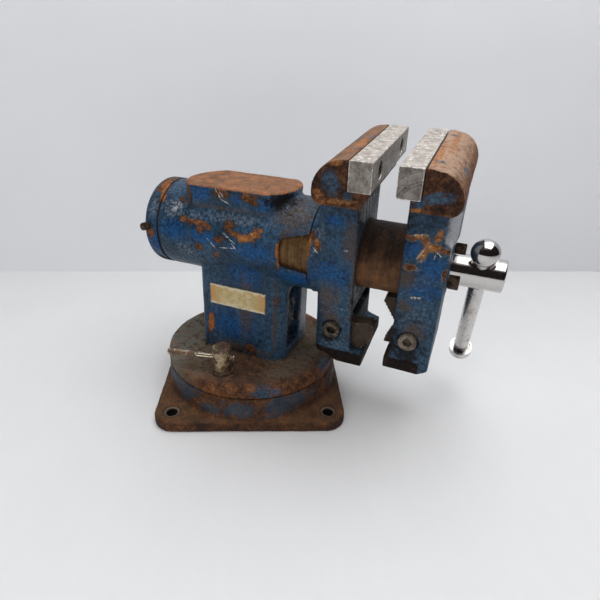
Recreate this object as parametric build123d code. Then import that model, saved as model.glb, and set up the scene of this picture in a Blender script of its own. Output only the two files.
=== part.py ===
"""Rotating-head bench vise, 5 inch jaws: bolt-down base, swivelling body, turning jaw head."""

import os

from build123d import *

# ---- Driving dimensions, millimetres and degrees ----------------------------------------
# Bench plate and the round drum that the body turns on
plate_side = 186.5
plate_thick = 11.5
plate_corner_r = 20.0
bolt_pitch = 152.0
bolt_hole_r = 4.75
drum_r = 89.0
drum_foot_r = 90.5
drum_top = 35.0
disc_gap = 0.15
disc_top = 47.5

# The vise axis: its height, how far the body is swivelled and the head is turned at rest
axis_height = 168.5
swivel_deg = 25.0
head_turn_deg = 6.0

# Body, measured from the vise axis; x runs from the rear cap to the spindle
column_rear, column_front, column_half = -42.0, 48.0, 34.0
barrel_rear, barrel_front, barrel_r = -81.3, 71.6, 42.8
bore_r = 37.3
anvil_top, anvil_half = 49.2, 37.0
anvil_rear, anvil_front = -64.0, 46.5

# Jaws
jaw_length = 127.0
jaw_top = 98.0
jaw_gap = 17.0
fixed_face = 126.9
moving_face = fixed_face + jaw_gap
bar_thick, bar_height = 17.3, 22.8
head_depth = 28.2
fixed_foot, moving_foot = 62.5, 66.5
fixed_ledge, moving_ledge = 10.4, 6.6
neck_half = 36.0
arm_front, arm_rib_edge, arm_rib_bow = 186.0, 180.0, 189.0
sleeve_r, ram_r = 37.22, 30.7
ram_bore_r = 20.5
running_gap = 0.08

# Screws
lead_screw_r = 11.0
lead_nut_rear, lead_nut_front = 82.0, 108.0
spindle_head_r = 13.9
collar_rear, collar_front = 187.0, 196.0
collar_r, collar_rise = 19.8, 1.8
handle_x, handle_r = 210.6, 7.0
handle_lift_deg = 60.0
handle_ball_r, handle_ball_at = 11.35, 24.9
handle_cap_r, handle_cap_at = 11.0, -128.0
lock_radius = 66.0
lock_head_r, lock_head_top = 8.8, 76.2
tommy_r, tommy_long, tommy_short = 2.5, 53.2, 12.4
tommy_height = 63.8
bar_bolt_y, bar_bolt_z = 38.0, 86.5
fixed_pipe_bolt = (95.0, -65.5)
moving_pipe_bolt = (164.5, -60.0)
fixed_pipe_y = (-28.2, -15.7)
moving_pipe_y = (-14.5, -2.0)
lock_boss_x = -25.0


# ---- Shape helpers ----------------------------------------------------------------------
def block(x0, x1, y0, y1, z0, z1):
    """Box between two corners."""
    return Pos((x0 + x1) / 2, (y0 + y1) / 2, (z0 + z1) / 2) * Box(x1 - x0, y1 - y0, z1 - z0)


def rod(x0, x1, radius):
    """Cylinder along the vise axis."""
    return Pos((x0 + x1) / 2, 0, 0) * Rot(0, 90, 0) * Cylinder(radius, x1 - x0)


def tube(x0, x1, outer, inner):
    return rod(x0, x1, outer) - rod(x0, x1, inner)


def cross_rod(x, z, y0, y1, radius):
    """Cylinder that runs across the vise, along y."""
    return Pos(x, (y0 + y1) / 2, z) * Rot(90, 0, 0) * Cylinder(radius, y1 - y0)


def post(x, y, z0, z1, radius):
    return Pos(x, y, (z0 + z1) / 2) * Cylinder(radius, z1 - z0)


def hexagon(x, y, z0, z1, across_flats):
    side = RegularPolygon(across_flats / 2, 6, major_radius=False)
    return Pos(x, y, z0) * extrude(side, z1 - z0)


def side_cut(points, y0, y1, rounds=()):
    """Outline in x and z, extruded across the vise. rounds pairs a corner with its radius."""
    face = make_face(Polyline(*points, close=True))
    for (x, z), radius in rounds:
        face = fillet(face.vertices().sort_by_distance(Vertex(x, z, 0))[0], radius)
    return Pos(0, y0, 0) * extrude(Plane.XZ * face, y1 - y0, dir=(0, 1, 0))


def teeth(start, end, count, depth):
    """Saw-toothed line from start to end. A negative depth cuts the teeth into the left-hand side."""
    (x0, z0), (x1, z1) = start, end
    run = (x1 - x0, z1 - z0)
    length = (run[0] ** 2 + run[1] ** 2) ** 0.5
    out = (run[1] / length * depth, -run[0] / length * depth)
    points = [start]
    for i in range(count):
        for part, lift in ((0.3, 1), (0.7, 1), (1.0, 0)):
            share = (i + part) / count
            points.append((x0 + run[0] * share + out[0] * lift, z0 + run[1] * share + out[1] * lift))
    return points


def on_body(shape):
    """From the vise axis to the bench frame: swivelled body."""
    return Pos(0, 0, axis_height) * Rot(0, 0, -swivel_deg) * shape


def on_head(shape):
    """The same for the head, which is also turned about the vise axis."""
    return on_body(Rot(head_turn_deg, 0, 0) * shape)


def up(height):
    """Height above the bench, as a z measured from the vise axis."""
    return height - axis_height


# ---- Base -------------------------------------------------------------------------------
def base_casting():
    plate = fillet(Rectangle(plate_side, plate_side).vertices(), plate_corner_r)
    body = extrude(plate, plate_thick)
    body = fillet(body.faces().sort_by(Axis.Z)[-1].edges(), 2)
    body += Pos(0, 0, drum_top / 2) * Cone(drum_foot_r, drum_r, drum_top)
    slot = post(0, 0, 26, 40, 71.5) - post(0, 0, 26, 40, 60.5)
    channel = post(0, 0, 8, 26, 76) - post(0, 0, 8, 26, 56)
    entry = block(-12, 12, 58, 74, -1, 9)
    hollow = post(0, 0, -1, 24, 48) - post(0, 0, 12, 24, 20)
    body -= [slot, channel, entry, hollow, post(0, 0, 0, 40, 6.02)]
    for x in (-1, 1):
        for y in (-1, 1):
            hole = Pos(x * bolt_pitch / 2, y * bolt_pitch / 2, 0)
            body -= hole * post(0, 0, -1, 20, bolt_hole_r)
            body -= hole * post(0, 0, plate_thick - 0.8, 20, bolt_hole_r + 2.4)
    return body


def pivot():
    bolt = hexagon(0, 0, 2.2, 9.5, 19) + post(0, 0, 9, 68, 5.95)
    washer = post(0, 0, 9.6, 11.9, 12) - post(0, 0, 9, 12, 6.0)
    return {"pivot_bolt": bolt, "pivot_washer": washer}


# ---- Swivel body ------------------------------------------------------------------------
def column():
    bevel = 10.5
    outline = Polyline(
        (column_rear, -column_half),
        (column_front - bevel, -column_half),
        (column_front, bevel - column_half),
        (column_front, column_half - 2),
        (column_front - 2, column_half),
        (column_rear, column_half),
        close=True,
    )
    face = make_face(outline)
    face = fillet(face.vertices().sort_by(Axis.X)[:2], 6)
    shaft = Pos(0, 0, up(disc_top - 1)) * extrude(face, axis_height - disc_top)
    pocket = block(column_front - 9, column_front + 5, -20, 13, up(58), up(124))
    pocket = fillet(pocket.edges().filter_by(Axis.X), 8)
    core = block(column_rear + 9, column_front - 19, -25, 25, up(0), up(118))
    core = fillet(core.edges().filter_by(Axis.Z), 8)
    return shaft - pocket, core


def anvil():
    """Flat block with bowed ends; its walls lean in towards the barrel."""
    bow = 16.0
    rear, front = anvil_rear, anvil_front
    top = make_face(
        [
            Line((rear + bow, -anvil_half), (front - bow, -anvil_half)),
            ThreePointArc((front - bow, -anvil_half), (front, 0), (front - bow, anvil_half)),
            Line((front - bow, anvil_half), (rear + bow, anvil_half)),
            ThreePointArc((rear + bow, anvil_half), (rear, 0), (rear + bow, -anvil_half)),
        ]
    )
    lip = Pos(0, 0, anvil_top - 3) * extrude(top, 3)
    return lip + Pos(0, 0, anvil_top - 3) * extrude(top, -26, taper=13)


def swivel_body():
    shaft, core = column()
    disc = post(0, 0, up(drum_top + disc_gap), up(disc_top), drum_r)
    disc = chamfer(disc.faces().sort_by(Axis.Z)[-1].edges(), 1.2)
    lock_boss = cross_rod(lock_boss_x, 0, 36, 55, 13)
    boss = post(0, 0, up(drum_top + disc_gap), up(72), 15)
    boss += block(column_rear + 5, column_front - 15, -4, 4, up(drum_top + disc_gap), up(72))
    body = disc + shaft + rod(barrel_rear, barrel_front, barrel_r) + anvil() + lock_boss
    body = body - core + boss
    body -= rod(barrel_rear - 1, barrel_front + 1, bore_r)
    opening = [(45, -12.5), (73, -15.5), (73, 20.5), (45, 13)]
    window = side_cut(opening, -50, -20, [((45, -12.5), 5), ((45, 13), 5)])
    body -= [window, cross_rod(lock_boss_x, 0, 30, 60, 6.05), post(0, 0, up(0), up(69), 6.0)]
    for side in (-1, 1):
        body -= post(0, side * lock_radius, up(0), up(60), 5.1)
    return body


def label():
    return block(-30, 30, -column_half - 0.4, -column_half, -67, -46)


# ---- Clamping screws with sliding bars --------------------------------------------------
def sliding_bar():
    """Bar along +x through the origin, its ends swaged so that it stays in its screw."""
    bar = rod(-tommy_short, tommy_long, tommy_r)
    for x, turn in ((-tommy_short, -90), (tommy_long, 90)):
        bar += Pos(x, 0, 0) * Rot(0, turn, 0) * Pos(0, 0, -1.5) * Cone(tommy_r, 3.2, 3)
    return bar


def swivel_lock(side, bar_deg):
    at = Pos(0, side * lock_radius, 0)
    grip = Pos(0, 0, up(tommy_height)) * Rot(0, 0, bar_deg)
    head = post(0, 0, up(disc_top + 2.5), up(lock_head_top), lock_head_r)
    head = chamfer(head.faces().sort_by(Axis.Z)[-1].edges(), 1.5)
    screw = head + post(0, 0, up(14), up(disc_top + 3), 5.0) - grip * rod(-20, 20, tommy_r + 0.25)
    washer = post(0, 0, up(disc_top), up(disc_top + 2.3), 10.4) - post(0, 0, up(disc_top), up(60), 5.1)
    nut = block(-10, 10, -9, 9, up(16.5), up(25.7)) - post(0, 0, up(10), up(30), 5.04)
    name = "near" if side < 0 else "far"
    return {
        f"swivel_lock_screw_{name}": at * screw,
        f"swivel_lock_washer_{name}": at * washer,
        f"swivel_lock_nut_{name}": at * nut,
        f"tommy_bar_{name}": at * grip * sliding_bar(),
    }


def head_lock():
    """Screw on the far side of the barrel that pins the head's sleeve."""
    at = Pos(lock_boss_x, 0, 0)
    head = cross_rod(0, 0, 55.4, 73, lock_head_r)
    head = chamfer(head.faces().sort_by(Axis.Y)[-1].edges(), 1.5)
    screw = head + cross_rod(0, 0, sleeve_r + 0.3, 56, 6.0) - post(0, 64, -20, 20, tommy_r + 0.25)
    bar = Pos(0, 64, 0) * Rot(0, 90, 0) * sliding_bar()
    return {"head_lock_screw": at * screw, "head_lock_bar": at * bar}


# ---- Head: fixed jaw side ---------------------------------------------------------------
def d_head(face, outward, foot, ledge_depth):
    """Half-round jaw head behind a jaw bar. outward is -1 for the fixed jaw, 1 for the moving one."""
    back = face + outward * bar_thick
    rim = back + outward * head_depth
    nose = back - outward * ledge_depth
    ledge = jaw_top - bar_height - 0.05
    outline = [(back, jaw_top), (rim, jaw_top), (rim, foot), (nose, foot), (nose, ledge), (back, ledge)]
    half = jaw_length / 2 - 0.4
    head = side_cut(outline, -half, half, [((rim, jaw_top), jaw_top - foot - 9.5), ((rim, foot), 9)])
    for y in (-bar_bolt_y, bar_bolt_y):
        head -= Pos(back + outward * 8, y, bar_bolt_z) * Rot(0, 90, 0) * Cylinder(4.0, 18)
    return head


def fixed_neck():
    outline = [
        (78, 70), (113, 70), (113, -84), (125.5, -88), (125.5, -101.5),
        (101, -102), (89, -95), (78, -94.5),
    ]
    neck = side_cut(outline, -neck_half, neck_half)
    neck = fillet(neck.edges().filter_by(Axis.Z).group_by(Axis.X)[0], 8)
    return fillet([e for e in neck.edges().filter_by(Axis.Z) if abs(e.center().X - 113) < 0.1], 3)


def fixed_jaw():
    neck = fixed_neck()
    flare = Pos(81, 0, 0) * Rot(0, 90, 0) * Cone(44.5, neck_half, 18)
    sleeve = rod(barrel_rear - 0.2, 80, sleeve_r) + rod(-93.8, barrel_rear, 33)
    jaw = neck + flare + sleeve + d_head(fixed_face, -1, fixed_foot, fixed_ledge)
    jaw -= rod(-100, 120, ram_r + running_gap)
    jaw -= [tube(x, x + 2.6, sleeve_r + 1, sleeve_r - 1.6) for x in (49, 56)]
    jaw -= block(92, 130, -28.5, 28.5, -60, -45)
    jaw -= block(92, 130, -28.5, -15.4, -87.6, -45)
    jaw -= block(82.8, 107.2, -10.3, 10.3, -38, -25)
    jaw -= [post(95, 0, -50, -30, 5.1), post(95, 0, -61, -45, 10.5)]
    x, z = fixed_pipe_bolt
    jaw -= [cross_rod(x, z, -40, 40, 5.1), cross_rod(x, z, -40, -31.5, 8.6)]
    return jaw


def rear_cap():
    cap = rod(-96.6, barrel_rear - 0.3, barrel_r)
    cap = fillet(cap.faces().sort_by(Axis.X)[0].edges(), 5)
    cap -= rod(-94, -80, 33.05)
    turn = Rot(-12, 0, 0)
    screw = turn * (cross_rod(-91, 0, -46, -33.2, 2.5) + cross_rod(-91, 0, -49.5, -43.2, 3.7))
    return {"rear_cap": cap - turn * cross_rod(-91, 0, -50, -30, 2.53), "cap_lock_screw": screw}


# ---- Head: moving jaw side --------------------------------------------------------------
def moving_arm():
    """Flat-fronted block round the spindle, with a bowed rib above it that carries the jaw head."""
    outline = [
        (150, 70), (150, -79), (145, -82), (145, -94), (177, -94.5), (arm_front - 0.5, -89),
        (arm_front, 33), (arm_rib_edge, 38), (arm_rib_edge, 70),
    ]
    near, far = (arm_rib_edge, -neck_half), (arm_rib_edge, neck_half)
    bow = make_face([ThreePointArc(near, (arm_rib_bow, 0), far), Line(far, near)])
    return side_cut(outline, -neck_half, neck_half) + Pos(0, 0, 28) * extrude(bow, moving_foot - 27)


def moving_jaw():
    jaw = moving_arm() + rod(180, collar_rear, 24) + rod(-70, 152, ram_r)
    jaw += d_head(moving_face, 1, moving_foot, moving_ledge)
    jaw -= rod(-75, 163, ram_bore_r)
    jaw -= rod(160, 190, lead_screw_r + running_gap)
    jaw -= block(-75, 126, -8.3, 8.3, -35, -10)
    y0, y1 = moving_pipe_y
    jaw -= block(144, 172, y0 - 0.1, y1 + 0.1, -83.4, -31.5)
    x, z = moving_pipe_bolt
    jaw -= [cross_rod(x, z, -40, 40, 5.1), cross_rod(x, z, -40, -31.5, 8.6)]
    return jaw


# ---- Jaw bars, pipe jaws and their fasteners ---------------------------------------------
def jaw_bar(face, outward):
    back = face + outward * bar_thick
    half = jaw_length / 2
    bar = block(min(face, back), max(face, back), -half, half, jaw_top - bar_height, jaw_top)
    bar = chamfer(bar.edges().filter_by(Axis.Y), 0.8)
    screws = []
    for y in (-bar_bolt_y, bar_bolt_y):
        at = Pos(0, y, bar_bolt_z)
        sink = face + outward * 8.5
        bar -= at * rod(min(face, back) - 1, max(face, back) + 1, 4.2)
        bar -= at * rod(min(face - outward, sink), max(face - outward, sink), 6.8)
        head = at * rod(min(sink, sink - outward * 7.5), max(sink, sink - outward * 7.5), 6.4)
        shank_end = back + outward * 15
        shank = at * rod(min(sink, shank_end), max(sink, shank_end), 3.95)
        key = at * Rot(0, -90 * outward, 0) * hexagon(0, 0, 0, 4, 6)
        screws.append(head + shank - Pos(sink - outward * 3.6, 0, 0) * key)
    return bar, screws


def pipe_jaws():
    nose = [(92.5, -87), (92.5, -54.5), (116, -58.5), (128.5, -55.5), (132.3, -59)]
    flank = teeth((132.3, -69), (121, -86.5), 5, -0.9)
    fixed = side_cut(nose + flank, *fixed_pipe_y)
    valley = teeth((136, -38), (148, -57.5), 6, -0.9) + teeth((148, -60), (139.5, -81), 6, -0.9)
    moving = side_cut([(171.5, -83), (171.5, -32), (137.5, -32)] + valley, *moving_pipe_y)
    x, z = fixed_pipe_bolt
    fixed -= cross_rod(x, z, -40, 0, 5.1)
    x, z = moving_pipe_bolt
    moving -= cross_rod(x, z, -40, 10, 5.1)
    return {"fixed_pipe_jaw": fixed, "moving_pipe_jaw": moving}


def pipe_jaw_bolt(centre):
    x, z = centre
    y = -neck_half + 4.4
    head = cross_rod(x, z, y - 6.5, y, 8.0)
    socket = Pos(x, y - 7, z) * Rot(-90, 0, 0) * hexagon(0, 0, 0, 5, 8)
    bolt = head + cross_rod(x, z, y - 1, neck_half + 10, 5.0) - socket
    nut = Pos(x, neck_half, z) * Rot(-90, 0, 0) * hexagon(0, 0, 0.02, 7.5, 17)
    return bolt, nut - cross_rod(x, z, 30, 60, 5.04)


# ---- Lead screw, its nut and the handle ---------------------------------------------------
def handle_axis(shape):
    """Shape along +z to the handle's line through the spindle head; +z ends at the ball."""
    return Pos(handle_x, 0, 0) * Rot(90 - handle_lift_deg, 0, 0) * shape


def spindle():
    """Lead screw whose round head bears on the arm's boss, inside a C-shaped collar."""
    screw = rod(-28, 200, lead_screw_r)
    head = rod(collar_rear + 0.1, 229.5, spindle_head_r)
    head = fillet(head.faces().sort_by(Axis.X)[-1].edges(), 1.6)
    hole = handle_axis(post(0, 0, -20, 20, handle_r + 0.2))
    mouths = [handle_axis(Rot(t, 0, 0) * Pos(0, 0, 13) * Cone(7.2, 10.2, 3)) for t in (0, 180)]
    screw = screw + head - hole - mouths - post(155, 0, -20, 20, 2.5)
    collar = Pos(0, 0, collar_rise) * rod(collar_rear, collar_front, collar_r)
    collar = chamfer(collar.edges().filter_by(GeomType.CIRCLE), 0.8)
    collar -= rod(collar_rear - 1, collar_front + 1, spindle_head_r + running_gap)
    collar -= block(collar_rear - 1, collar_front + 1, -30, 6, -3.5, 30)  # open towards the near side
    return {
        "spindle_screw": screw,
        "thrust_collar": collar,
        "thrust_washer": tube(160.2, 162.9, 17.5, lead_screw_r + 0.2),
        "retaining_collar": tube(150, 160, 17, lead_screw_r + 0.02) - post(155, 0, -20, 20, 2.5),
        "retaining_pin": post(155, 0, -17, 17, 2.48),
    }


def handle():
    end = handle_cap_at
    bar = post(0, 0, end + 2, handle_ball_at - 2, handle_r)
    ball = Pos(0, 0, handle_ball_at) * Sphere(handle_ball_r) - bar
    cap = post(0, 0, end - 6, end + 5, handle_cap_r)
    cap = fillet(cap.faces().sort_by(Axis.Z)[0].edges(), 4)
    cap -= [bar, post(0, 0, end + 3.4, end + 6, 9.4)]
    parts = {"handle_bar": bar, "handle_ball": ball, "handle_end_cap": cap}
    return {name: handle_axis(shape) for name, shape in parts.items()}


def spindle_nut():
    leg = block(84, 106, -7.9, 7.9, -37.9, -8)
    nut = rod(lead_nut_rear, lead_nut_front, ram_bore_r - 0.6) + leg
    nut -= [rod(80, 110, lead_screw_r + 0.06), post(95, 0, -40, -22, 5.0)]
    bolt = hexagon(95, 0, -51.5, -45.02, 16) + post(95, 0, -46, -23, 4.95)
    return {"spindle_nut": nut, "spindle_nut_bolt": bolt}


# ---- Assembly ---------------------------------------------------------------------------
def assemble():
    nodes = {"base_casting": base_casting(), **pivot()}
    body = {"swivel_body": swivel_body(), "blank_label": label()}
    body |= swivel_lock(-1, 194.3) | swivel_lock(1, 160) | head_lock()

    head = {"fixed_jaw": fixed_jaw(), "moving_jaw": moving_jaw()}
    head |= rear_cap() | pipe_jaws() | spindle_nut()
    for name, face, outward in (("fixed", fixed_face, -1), ("moving", moving_face, 1)):
        bar, screws = jaw_bar(face, outward)
        head |= {f"{name}_jaw_bar": bar, f"{name}_jaw_bar_screws": screws[0] + screws[1]}
    for name, centre in (("fixed", fixed_pipe_bolt), ("moving", moving_pipe_bolt)):
        bolt, nut = pipe_jaw_bolt(centre)
        head |= {f"{name}_pipe_jaw_bolt": bolt, f"{name}_pipe_jaw_nut": nut}
    spindle_parts = spindle() | handle()

    nodes |= {name: on_body(shape) for name, shape in body.items()}
    nodes |= {name: on_head(shape) for name, shape in head.items()}
    nodes |= {name: on_body(shape) for name, shape in spindle_parts.items()}
    return nodes


os.makedirs("parts", exist_ok=True)
for node, shape in assemble().items():
    export_step(shape, f"parts/{node}.step")
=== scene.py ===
import math

import bpy
import numpy
from mathutils import Matrix, Vector


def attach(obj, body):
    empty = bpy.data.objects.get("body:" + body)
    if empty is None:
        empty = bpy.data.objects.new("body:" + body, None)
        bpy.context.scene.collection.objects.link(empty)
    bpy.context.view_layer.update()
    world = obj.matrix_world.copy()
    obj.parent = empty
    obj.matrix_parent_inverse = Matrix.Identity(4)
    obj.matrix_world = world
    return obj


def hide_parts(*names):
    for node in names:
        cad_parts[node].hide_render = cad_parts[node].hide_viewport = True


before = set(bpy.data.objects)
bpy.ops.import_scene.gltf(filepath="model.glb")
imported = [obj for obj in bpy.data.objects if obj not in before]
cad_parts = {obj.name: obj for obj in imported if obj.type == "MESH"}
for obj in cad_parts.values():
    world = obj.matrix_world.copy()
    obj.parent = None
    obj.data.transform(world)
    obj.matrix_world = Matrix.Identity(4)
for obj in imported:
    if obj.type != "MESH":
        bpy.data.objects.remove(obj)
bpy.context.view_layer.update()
print("frame loaded:", len(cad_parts), "nodes")

# Lengths are metres. Patterns are placed in the vise's own frame: x runs along the spindle towards the
# handle, z up from the spindle's axis.
vise = {
    "axisHeight": 0.1685,
    "swivel": math.radians(25),
    "headTurn": math.radians(6),
}


def viseTurn(onHead):
    # The turn from the world's directions to the vise's own, or to those of its tilted head
    turn = Matrix.Rotation(vise["swivel"], 3, "Z")
    return Matrix.Rotation(-vise["headTurn"], 3, "X") @ turn if onHead else turn


class Wire:
    # A shader socket that can be used in sums. node() adds any other node after it.
    def __init__(self, tree, socket=None):
        self.tree, self.socket = tree, socket

    def node(self, kind, settings, inputs, output=0):
        made = self.tree.nodes.new("ShaderNode" + kind)
        for name, value in settings.items():
            if name == "stops":
                self.fillRamp(made.color_ramp, value)
            else:
                setattr(made, name, value)
        for name, value in inputs.items():
            if isinstance(value, Wire):
                self.tree.links.new(value.socket, made.inputs[name])
            else:
                made.inputs[name].default_value = value
        return Wire(self.tree, made.outputs[output])

    @staticmethod
    def fillRamp(ramp, stops):
        while len(ramp.elements) < len(stops):
            ramp.elements.new(1)
        for element, (position, colour) in zip(ramp.elements, stops):
            element.position, element.color = position, colour

    def sum(self, operation, first, second):
        return self.node("Math", {"operation": operation}, {0: first, 1: second})

    def __add__(self, other):
        return self.sum("ADD", self, other)

    def __sub__(self, other):
        return self.sum("SUBTRACT", self, other)

    def __mul__(self, other):
        return self.sum("MULTIPLY", self, other)

    def __truediv__(self, other):
        return self.sum("DIVIDE", self, other)

    def __rsub__(self, other):
        return self.sum("SUBTRACT", other, self)

    def __rtruediv__(self, other):
        return self.sum("DIVIDE", other, self)

    __radd__, __rmul__ = __add__, __mul__


screenCurve = {"knee": 0.04045, "slope": 12.92, "offset": 0.055, "power": 2.4}


def linear(part):
    # One part of a screen colour, 0 to 255, made linear
    shown = part / 255
    if shown <= screenCurve["knee"]:
        return shown / screenCurve["slope"]
    return ((shown + screenCurve["offset"]) / (1 + screenCurve["offset"])) ** screenCurve["power"]


def tone(red, green, blue):
    return linear(red), linear(green), linear(blue), 1


def smooth(value, start, end):
    # 0 at start, 1 at end, eased; start may be the larger
    if start > end:
        return 1 - smooth(value, end, start)
    limits = {"From Min": start, "From Max": end}
    return value.node("MapRange", {"interpolation_type": "SMOOTHSTEP"}, {"Value": value, **limits})


def absolute(value):
    return value.sum("ABSOLUTE", value, 0)


def span(first, second):
    # The length of two sides at a right angle
    squares = first * first + second * second
    return squares.sum("SQRT", squares, 0)


def larger(*values):
    result = values[0]
    for value in values[1:]:
        result = result.sum("MAXIMUM", result, value)
    return result


def blend(mask, below, above):
    wire = mask if isinstance(mask, Wire) else below
    return wire.node("Mix", {"data_type": "RGBA"}, {0: mask, 6: below, 7: above}, 2)


def shade(colour, factor):
    # Darkens or lightens a colour by a number that varies over the surface
    grey = factor.node("CombineColor", {}, {"Red": factor, "Green": factor, "Blue": factor})
    return grey.node("Mix", {"data_type": "RGBA", "blend_type": "MULTIPLY"}, {0: 1, 6: colour, 7: grey}, 2)


def mottled(colour, pattern, depth):
    # A colour made lighter and darker by a pattern
    return shade(colour, (pattern - 0.5) * depth + 1)


def noise(where, size, detail=4, roughness=0.55):
    values = {"Vector": where, "Scale": 1 / size, "Detail": detail, "Roughness": roughness}
    return where.node("TexNoise", {}, values)


def cells(where, size, feature="SMOOTH_F1"):
    return where.node("TexVoronoi", {"feature": feature}, {"Vector": where, "Scale": 1 / size})


def stretched(where, along, across, up):
    # The same place with its axes squeezed, so that a pattern on it runs long that way
    return where.node("Mapping", {}, {"Vector": where, "Scale": (1 / along, 1 / across, 1 / up)})


def axes(where):
    return [where.node("SeparateXYZ", {}, {"Vector": where}, axis) for axis in range(3)]


def patch(where, kind, rough, soft=0.12, reach=1):
    # 1 inside the places that markPatches wrote on the mesh under this name, with a ragged edge
    away = where.node("Attribute", {"attribute_name": kind}, {}, "Fac")
    return smooth(away + rough, reach + soft, reach - soft)


def stroke(where, centre, half, turn):
    # 1 inside one thin ellipsoid, for a scratch finer than the mesh
    values = {"Vector": where, "Location": [place / 1000 for place in centre]}
    values.update({"Rotation": (0, -math.radians(turn), 0), "Scale": [size / 1000 for size in half]})
    inside = where.node("Mapping", {"vector_type": "TEXTURE"}, values)
    return smooth(inside.node("VectorMath", {"operation": "LENGTH"}, {0: inside}, 1), 1.1, 0.8)


def bump(height, depth, below=None):
    # A relief of this depth in metres, on top of the relief below
    under = {"Normal": below} if below else {}
    return height.node("Bump", {}, {"Height": height, "Distance": depth, "Strength": 1, **under})


def newMaterial(name):
    made = bpy.data.materials.new(name)
    made.use_nodes = True
    return made


class Finish:
    # A new material, its pattern space in the vise's frame, and its closing shader
    def __init__(self, name, part="body"):
        self.material = newMaterial(name)
        self.tree = self.material.node_tree
        turn = viseTurn(part == "head")
        start = Wire(self.tree)
        self.plain = start.node("TexCoord", {}, {}, "Object")
        moved = turn @ Vector((0, 0, -vise["axisHeight"]))
        values = {"Vector": self.plain, "Location": moved, "Rotation": turn.to_euler()}
        self.where = start.node("Mapping", {}, values)
        self.facing = start.node("TexCoord", {}, {}, "Normal")
        self.edges = start.node("NewGeometry", {}, {}, "Pointiness")
        self.upward = axes(self.facing)[2]
        self.nearward = self.towards(-math.sin(vise["swivel"]), -math.cos(vise["swivel"]))
        self.frontward = self.towards(math.cos(vise["swivel"]), -math.sin(vise["swivel"]))

    def towards(self, x, y):
        # How far the surface faces a level direction, from -1 to 1
        values = {0: self.facing, 1: (x, y, 0)}
        return self.facing.node("VectorMath", {"operation": "DOT_PRODUCT"}, values, 1)

    def close(self, colour, roughness, normal, metallic=0.0, gloss=0.5):
        shader = self.tree.nodes["Principled BSDF"]
        shader.inputs["Specular IOR Level"].default_value = gloss
        values = {"Base Color": colour, "Roughness": roughness, "Normal": normal, "Metallic": metallic}
        for name, value in values.items():
            if isinstance(value, Wire):
                self.tree.links.new(value.socket, shader.inputs[name])
            else:
                shader.inputs[name].default_value = value
        return self.material


rustTones = {
    "pit": tone(24, 17, 14),
    "dark": tone(60, 38, 27),
    "middle": tone(104, 68, 44),
    "bright": tone(168, 104, 60),
    "pale": tone(174, 144, 120),
    "golden": tone(204, 144, 70),
}
paintTones = {
    "deep": tone(34, 55, 74),
    "middle": tone(50, 78, 102),
    "vivid": tone(8, 72, 124),
    "worn": tone(84, 94, 106),
    "speck": tone(108, 120, 134),
    "pale": tone(196, 196, 194),
    "soot": tone(20, 18, 18),
    "dirt": tone(80, 66, 54),
    "dust": tone(96, 86, 72),
    "ash": tone(108, 106, 96),
    "bleached": tone(178, 180, 183),
}
patchKinds = ("rust", "orange", "scuffs", "pale", "bleached", "vivid", "grime", "dirt", "kept")
rustGrain = {"broad": 0.012, "fine": 0.0023, "contrast": 1.1}


def rustColour(where, level):
    # Rust over a whole surface; level from 0, almost black, to 1, orange
    broad = noise(where, rustGrain["broad"], 5, 0.7)
    fine = noise(where, rustGrain["fine"], 5, 0.75)
    shown = (broad - 0.5) * rustGrain["contrast"] + (fine - 0.5) * rustGrain["contrast"] + level
    stops = [
        (0.12, rustTones["pit"]),
        (0.36, rustTones["dark"]),
        (0.58, rustTones["middle"]),
        (0.9, rustTones["bright"]),
    ]
    return shown.node("ValToRGB", {"stops": stops}, {"Fac": shown})


# Sizes of the paint's patterns, depths of its reliefs, and its shine
paintGrain = {
    "broad": 0.040,
    "middling": 0.0085,
    "small": 0.0042,
    "fine": 0.0018,
    "hammer": 0.0026,
    "runs": 0.0032,
    "flecks": 0.0085,
    "turned": 0.0042,
    "drawn": 0.0010,
    "cast": 0.0045,
    "castDepth": 0.0006,
    "hammerDepth": 0.0006,
    "pitDepth": 0.0005,
    "gloss": 0.22,
}


def paintPatterns(where):
    # The noises that every layer of the finish is broken up with
    made = {
        "broad": noise(where, paintGrain["broad"], 4, 0.6),
        "middling": noise(where, paintGrain["middling"], 5, 0.7),
        "small": noise(where, paintGrain["small"], 5, 0.75),
        "fine": noise(where, paintGrain["fine"], 4, 0.75),
        "hammer": cells(where, paintGrain["hammer"]),
        "runs": noise(stretched(where, 1, 1, 5), paintGrain["runs"], 4, 0.7),
    }
    middling, small, fine = made["middling"] - 0.5, made["small"] - 0.5, made["fine"] - 0.5
    made["coarse"] = middling * 1.8 + small * 2.4 + fine * 1.2
    made["crisp"] = small * 3.6 + fine * 3.4
    return made


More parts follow.
